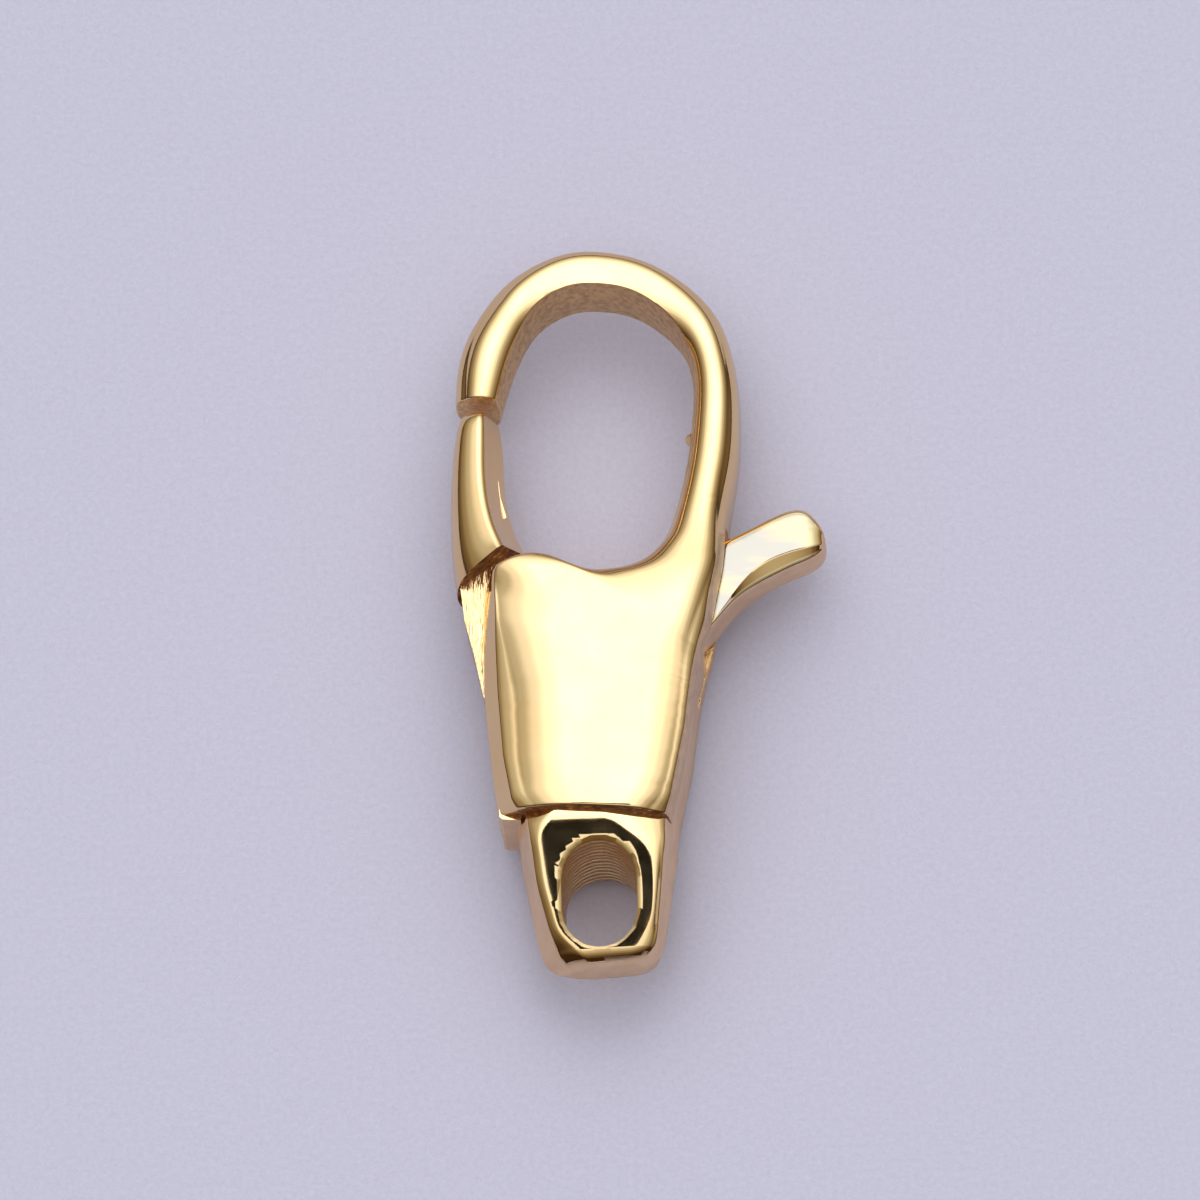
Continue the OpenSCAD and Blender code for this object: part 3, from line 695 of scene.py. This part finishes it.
def cutSlot():  # room for the lever from shut to open, the gate's seat and the pin's bores
    w, gap, half, hair = lever["tabWidth"], lever["edgeGap"], lever["slotHalf"], lever["hair"]
    above = [tuple(tabPoint(share, up * w + gap)) for share, up, _ in lever["tabRows"]]
    below = [tuple(tabPoint(share, down * w - gap, lever["travel"])) for share, _, down in lever["tabRows"]]
    (top, foot), (right, step), farLeft = lever["slotEnds"], lever["slotSides"], gateOut[0] - 0.5
    outline = [(farLeft, top), (farLeft, foot), (right, foot), tuple(pivot), *below[2:7], *above[6:0:-1]]
    outline += [(step, above[1][1]), (step, top)]
    joined(body, slabOf("slot_cutter", outline, -half, half), "DIFFERENCE")
    swing = circleAt(pivot, lever["camRadius"] + lever["camGap"], 96)
    joined(body, slabOf("cam_cutter", swing, -half + hair, half - hair), "DIFFERENCE")
    run, high = gateIn - gateOut, lever["seatHeight"]
    length = np.linalg.norm(run)
    drop = lever["seatGap"] * np.array((run[1], -run[0])) / length
    seat = [gateOut + drop - run, gateIn + drop, gateIn + np.array((0, high)), gateOut + np.array((-length, high))]
    joined(body, slabOf("seat_cutter", [tuple(p) for p in seat], -3, 3), "DIFFERENCE")
    radius, deep = lever["pinBore"]
    joined(body, slabOf("bore_cutter", circleAt(pivot, radius, 64), -deep, deep), "DIFFERENCE")


cutSlot()
print("slot, seat and bores cut", len(body.data.polygons))


# lever: gate, tongue and thumb tab
def gateHalf(width, thick, foot):  # dark outer shoulder, sloping front, round ridge and inner wall
    top = thick / 2
    edge, start = width * (0.68 + 0.05 * foot), width * 0.13
    ridge = edge - min(0.17, width * 0.13)
    at = np.concatenate([np.linspace(start, ridge - 0.05, 18), np.linspace(ridge - 0.05, edge - 0.01, 12)[1:]])
    slope = ridge - start
    stations = [start, start + 0.3 * slope, start + 0.62 * slope, ridge - 0.05, ridge, ridge + 0.07, edge]
    lean = np.tan(np.interp(at, stations, np.radians(lever["gateLean"])))
    height = np.concatenate([[0], np.cumsum(np.diff(at) * (lean[1:] + lean[:-1]) / 2)])
    height += top - height.max()
    z = height[0]
    half = wallCurve((0, z * 0.6), (start - 0.09, z - 0.10), (start, z), 14)[:-1]
    half += [np.array(p) for p in zip(at, height)]
    half += arcTo(half[-1], (edge, half[-1][1] - 0.02), (edge + 0.015, half[-1][1] - 0.09), 3)
    return half + lineTo(half[-1], (width, 0), 9)


def gateRings():
    rows = [(*gatePoint(lx, ly), *gatePoint(rx, ry), thick * lever["gateThick"], foot)
            for lx, ly, rx, ry, thick, foot in lever["gateRows"]]
    rings = []
    for lx, ly, rx, ry, thick, foot in eased(throughRows(rows, lever["gateSpacing"], 4), 2):
        half = gateHalf(math.dist((lx, ly), (rx, ry)), thick, min(max(foot, 0), 1))
        rings.append(ringAt((lx, ly), (rx, ry), half))
    return rings


def tabRings():  # the thumb tab, from inside the boss to its round tip
    rings = []
    for ux, uy, dx, dy, top, wide in eased(throughRows(lever["thumbRows"], lever["tabSpacing"], 3), 1):
        width = math.dist((ux, uy), (dx, dy))
        rim, wide, sag = min(0.12, width * 0.2), min(max(wide, 0.05), width * 0.4), 0.11 * min(1, width / 1.6)
        edge = top - wide * 0.46
        half = [(0, 0)] + lineTo((0, 0), (0, top - sag - rim), 4)
        half += arcTo(half[-1], (0.01, top - sag - 0.01), (rim * 1.3, top - sag + rim * 0.5), 6)
        half += arcTo(half[-1], (width * 0.35, top), (width * 0.6, top), 7)
        half += lineTo(half[-1], (width - wide, top), 5)
        half += lineTo(half[-1], (width - 0.09, top - wide * 0.42), 7)
        half += arcTo(half[-1], (width, edge), (width, edge - 0.14), 5)
        rings.append(ringAt((ux, uy), (dx, dy), half + lineTo(half[-1], (width, 0), 5)))
    return rolledEnd(rings, lever["tipRoll"])


def tongueOutline():  # from the gate's foot round the heel and the boss
    unit = np.linalg.norm(gateOut - pivot)
    root = [gatePoint(*share) for share in lever["tongueRoot"]]
    foot = [gateIn * 0.74 + gateOut * 0.26, gateOut * 0.94 + gateIn * 0.06]
    heel = [pivot + unit * np.array(r) for r in lever["heelRows"]]
    end = [pivot + corner for corner in lever["tongueEnd"]]
    return [tuple(p) for p in (foot[0], *root, foot[1], *heel, *end)]


half, proud, shy = lever["plateHalf"], lever["bossProud"], lever["camShy"]
boreRadius, boreHalf = lever["leverBore"]
cam = [tuple(pivot)] + [tuple(pivot + turned((lever["camRadius"], 0), a)) for a in range(11, -43, -3)]
arm = drawOut("trigger_arm", gateRings())
joined(arm, slabOf("tongue", tongueOutline(), -half, half), "UNION")
joined(arm, slabOf("flash_line", lever["flash"], *lever["flashHeights"]), "UNION")
joined(arm, slabOf("boss", circleAt(pivot, lever["bossRadius"], 64), -half - proud, half + proud), "UNION")
joined(arm, slabOf("cam", cam, -half + shy, half - shy), "UNION")
joined(arm, drawOut("thumb_tab", tabRings()), "UNION")
joined(arm, slabOf("lever_bore", circleAt(pivot, boreRadius, 64), -boreHalf, boreHalf), "DIFFERENCE")
workOn(arm)
bpy.ops.object.mode_set(mode="EDIT")
for at in lever["finishCuts"]:  # so that the tongue's outer part can take its own finish
    bpy.ops.mesh.select_all(action="SELECT")
    bpy.ops.mesh.bisect(plane_co=(at, 0, 0), plane_no=(1, 0, 0))
bpy.ops.object.mode_set(mode="OBJECT")
print("lever made", len(arm.data.polygons))


# finishes by face
def dress(piece, names, choose):
    for name in names:
        piece.data.materials.append(finishes[name])
    for face in piece.data.polygons:
        face.material_index = names.index(choose(face.center, face.normal))


def bodyFinish(place, facing):
    x, y, z = place
    level, steep = abs(z), abs(facing.z)
    inward = Vector((0, 4.2, 0)) - place  # to the loop's middle
    inward.z = 0
    if y > 0.9 and inward.length > 0.1 and facing.dot(inward.normalized()) > 0.86:
        return "cast"
    if y > 4.3 and x < -1.9 and facing.y < -0.8:  # the hook's end
        return "cast"
    if -7.4 < y < -6.6 and facing.y < -0.8:  # the body's end over the tail: its step takes the rough finish darkened with painted shade
        return "rawAndShaded" if x > -1.85 else "satin"
    ex, ey = x - tail["eye"][0], y - tail["eye"][1]
    if abs(ex) < 1.0 and abs(ey) < 1.38 and steep < 0.2 and facing.x * ex + facing.y * ey < 0:
        return "drilled"
    if x > 2.3 and level < 0.77 and -4.5 < y < 1.0 and facing.z > 0.9:  # the slot's floor beside the tab, toned darker with painted shade
        return "dull"
    if level < 0.76 and y < 0.6 and steep > 0.9:  # the slot's floor and roof
        return "cast"
    if -0.9 < y < 0.9 and x < -1.6 and facing.y > 0.75 and level < 1.7:  # the gate's seat
        return "cast"
    if y < -7.0 and steep < 0.62:
        return "satin"
    # the upper part of the body's right wall, toned darker with painted shade
    if -7.0 < y < 1.0 and x > 1.5 and facing.x > 0.45 and level > 0.84 and steep < 0.66:
        return "dull"
    if -7.0 < y < 1.0 and level < 0.86 and steep < 0.5 and abs(facing.x) > 0.5:
        return "satin"
    return "polished"


def leverFinish(place, facing):
    x, y, z = place
    # the gate's foot: rough, and near black with painted shade
    if x < -1.2 and -0.5 < y < 1.2 and facing.y < -0.7 and facing.x > 0.35 and abs(facing.z) < 0.3:
        return "rawAndShaded"
    if y < 0.657 * (x + 3.71) - 0.28 and x < -1.9 and abs(z) < 0.7:  # the tongue, below the gate's foot
        return "filed"
    # the tab's face: greyish streaks of painted highlight and shade
    if x > 2.0 and facing.z > 0.9:
        return "thumb"
    if x > 2.0 and abs(facing.z) < 0.5:
        return "satin"
    return "polished"


dress(body, ["polished", "cast", "drilled", "rawAndShaded", "satin", "dull"], bodyFinish)
dress(arm, ["polished", "rawAndShaded", "filed", "satin", "thumb"], leverFinish)
toFrame(body)
toFrame(arm)
for piece, rides, node in ((body, "body", "clasp_body"), (arm, "lever", "trigger_lever")):
    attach(piece, rides)
    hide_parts(node)
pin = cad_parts["pivot_pin"]
pin.data.materials.clear()
pin.data.materials.append(finishes["steel"])
print("pieces dressed")


# paper, light and camera
def layPaper():
    clearSelection()
    bpy.ops.mesh.primitive_plane_add(size=sheet["size"], location=(0, 0, 0))
    paper = bpy.context.object
    paper.name = "paper_floor"
    bpy.ops.object.mode_set(mode="EDIT")
    bpy.ops.mesh.select_all(action="SELECT")
    bpy.ops.mesh.subdivide(number_cuts=3)
    bpy.ops.object.mode_set(mode="OBJECT")
    paper.data.materials.append(finishes["paper"])
    paper.location.z = sheet["under"]


light = {
    "behind": 20, "squash": 0.80,  # degrees that the lamp stands behind the clasp, its reach that way
    "full": 2.1,  # brightness that the tones below are shares of
    # share of a quarter turn from the lamp's middle, brightness, tint
    "stops": [
        (0.0, 2.10, (1, 1, 1)), (0.14, 2.05, (1, 1, 1)), (0.30, 1.48, (1, 1, 1)), (0.44, 1.0, (1, 1, 1)),
        (0.555, 0.55, (1, 0.98, 0.88)), (0.70, 0.30, (1, 0.86, 0.60)), (0.83, 0.15, (1, 0.72, 0.42)),
        (1.0, 0.04, (1, 0.5, 0.2)),
    ],
    # a dark gap between the lamps, which the tail's sloping face mirrors: degrees, its edge and its brightness
    "gapAt": -6.0, "gapHalfY": 6.0, "gapHalfX": 15, "gapEdge": (0.92, 1.08), "gapLevel": 0.004,
    "horizonTo": 0.12, "horizonLevel": 0.25,  # the light fades from this height to this share at the ground
    "paperBase": 0.18, "paperRise": 2.16, "paperPower": 4.0,  # on the paper: base + rise * height ** power
    "backdrop": (0.584, 0.558, 0.658, 1),
}


def softLight():
    world = bpy.data.worlds.new("studio")
    bpy.context.scene.world = world
    world.use_nodes = True
    nodes, links = world.node_tree.nodes, world.node_tree.links
    nodes.clear()
    out, where = nodes.new("ShaderNodeOutputWorld"), nodes.new("ShaderNodeTexCoord")

    def sums(how, *values):
        node = nodes.new("ShaderNodeMath")
        node.operation = how
        for socket, value in zip(node.inputs, values):
            if isinstance(value, (int, float)):
                socket.default_value = value
            else:
                links.new(value, socket)
        return node.outputs[0]

    def lengthOf(a, b):
        return sums("SQRT", sums("ADD", sums("MULTIPLY", a, a), sums("MULTIPLY", b, b)))

    split = nodes.new("ShaderNodeSeparateXYZ")
    links.new(where.outputs["Generated"], split.inputs[0])
    x, y, z = split.outputs
    lean = math.radians(light["behind"])
    up = sums("ADD", sums("MULTIPLY", z, math.cos(lean)), sums("MULTIPLY", y, math.sin(lean)))
    side = sums("SUBTRACT", sums("MULTIPLY", y, math.cos(lean)), sums("MULTIPLY", z, math.sin(lean)))
    behind = sums("MULTIPLY", sums("MAXIMUM", side, 0.0), light["squash"])
    flat = lengthOf(x, sums("ADD", behind, sums("MINIMUM", side, 0.0)))
    share = sums("DIVIDE", sums("ARCTAN2", flat, up), math.pi / 2)
    stops = [(place, tuple(level / light["full"] * t for t in tint)) for place, level, tint in light["stops"]]
    ramp = toneRamp(nodes, links, share, stops)
    ramp.color_ramp.interpolation = "EASE"

    slope = sums("SUBTRACT", sums("ARCTAN2", y, z), math.radians(light["gapAt"]))
    offY = sums("DIVIDE", slope, math.radians(light["gapHalfY"]))
    offX = sums("DIVIDE", x, math.sin(math.radians(light["gapHalfX"])))
    lens = spread(nodes, links, lengthOf(offX, offY), light["gapLevel"], 1.0, *light["gapEdge"])
    horizon = spread(nodes, links, z, light["horizonLevel"], 1.0, 0.0, light["horizonTo"])
    lens.interpolation_type = horizon.interpolation_type = "SMOOTHSTEP"
    level = sums("MULTIPLY", lens.outputs["Result"], horizon.outputs["Result"])
    glow, soft, pale = (nodes.new("ShaderNodeBackground") for _ in range(3))
    links.new(ramp.outputs["Color"], glow.inputs["Color"])
    links.new(sums("MULTIPLY", level, light["full"]), glow.inputs["Strength"])

    soft.inputs["Color"].default_value = (1, 1, 1, 1)  # what lights the paper
    rise = sums("MULTIPLY", sums("POWER", sums("ABSOLUTE", z), light["paperPower"]), light["paperRise"])
    links.new(sums("ADD", rise, light["paperBase"]), soft.inputs["Strength"])
    pale.inputs["Color"].default_value = light["backdrop"]
    seen = nodes.new("ShaderNodeLightPath")
    first, second = nodes.new("ShaderNodeMixShader"), nodes.new("ShaderNodeMixShader")
    links.new(seen.outputs["Is Diffuse Ray"], first.inputs["Fac"])
    links.new(glow.outputs["Background"], first.inputs[1])
    links.new(soft.outputs["Background"], first.inputs[2])
    links.new(seen.outputs["Is Camera Ray"], second.inputs["Fac"])
    links.new(first.outputs["Shader"], second.inputs[1])
    links.new(pale.outputs["Background"], second.inputs[2])
    links.new(second.outputs["Shader"], out.inputs["Surface"])


# the picture's scale and width, where the camera looks from and to, its distance and its turn
view = {
    "mmPerPixel": 0.026, "pixels": 1200, "sensorMm": 36.0, "back": (0.055, -0.3746, 0.9255),
    "target": (-1.02566, 0.438, 2.1), "far": 640.0, "sideways": 3.4,
}


def placeCamera():
    clearSelection()
    back, target = Vector(view["back"]).normalized(), Vector(view["target"]) / 1000
    bpy.ops.object.camera_add(location=target + back * view["far"] / 1000)
    camera = bpy.context.object
    camera.name = "photo_camera"
    camera.data.sensor_width = view["sensorMm"]
    camera.data.lens = view["sensorMm"] * view["far"] / (view["mmPerPixel"] * view["pixels"])
    camera.data.clip_start, camera.data.clip_end = 0.01, 10
    a = math.radians(view["sideways"])
    up = back.cross(Vector((math.cos(a), 0, -math.sin(a)))).normalized()
    right = up.cross(back).normalized()
    camera.rotation_euler = Matrix((right, up, back)).transposed().to_euler()
    bpy.context.scene.camera = camera


layPaper()
softLight()
placeCamera()
bpy.context.scene.view_settings.view_transform = "Standard"
bpy.context.view_layer.update()
